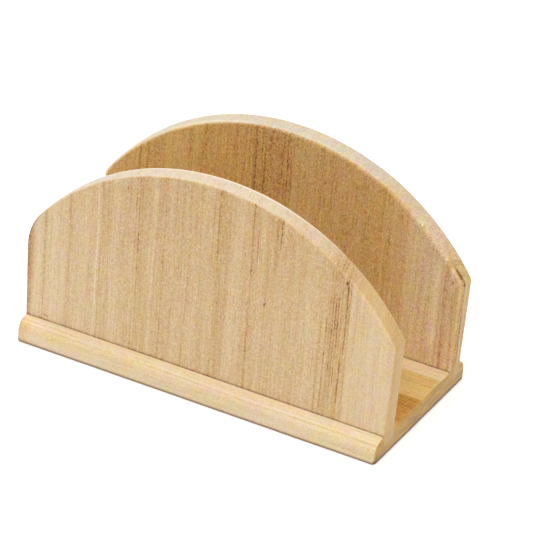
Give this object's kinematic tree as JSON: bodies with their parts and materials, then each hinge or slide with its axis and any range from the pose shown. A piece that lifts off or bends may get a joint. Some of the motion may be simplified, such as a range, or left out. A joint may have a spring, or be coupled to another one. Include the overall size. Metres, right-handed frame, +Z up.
{
  "type": "napkin holder",
  "caption": "Free-standing wooden napkin holder: arched panels stand upright in the grooves of a flat base, with an open space for folded napkins between them.",
  "frame": {"origin": "centre of the underside of the base, on the table", "axes": "+X along the base from the left end to the right end, +Y from the front edge to the back edge, +Z up"},
  "size_m": [0.18, 0.088, 0.102],
  "materials": {
    "base_wood": "bare sanded softwood-like hardwood, grain along the base",
    "front_panel_wood": "bare sanded, upright grain",
    "back_panel_wood": "bare sanded, upright grain",
    "screw_steel": "plain zinc-plated steel"
  },
  "bodies": {
    "root": {"base_front_stave": "base_wood", "base_middle_stave": "base_wood", "base_back_stave": "base_wood", "front_panel_left_stave": "front_panel_wood", "front_panel_mid_left_stave": "front_panel_wood", "front_panel_mid_right_stave": "front_panel_wood", "front_panel_right_stave": "front_panel_wood", "back_panel_left_stave": "back_panel_wood", "back_panel_mid_left_stave": "back_panel_wood", "back_panel_mid_right_stave": "back_panel_wood", "back_panel_right_stave": "back_panel_wood", "front_panel_screws": "screw_steel", "back_panel_screws": "screw_steel"}
  },
  "joints": []
}
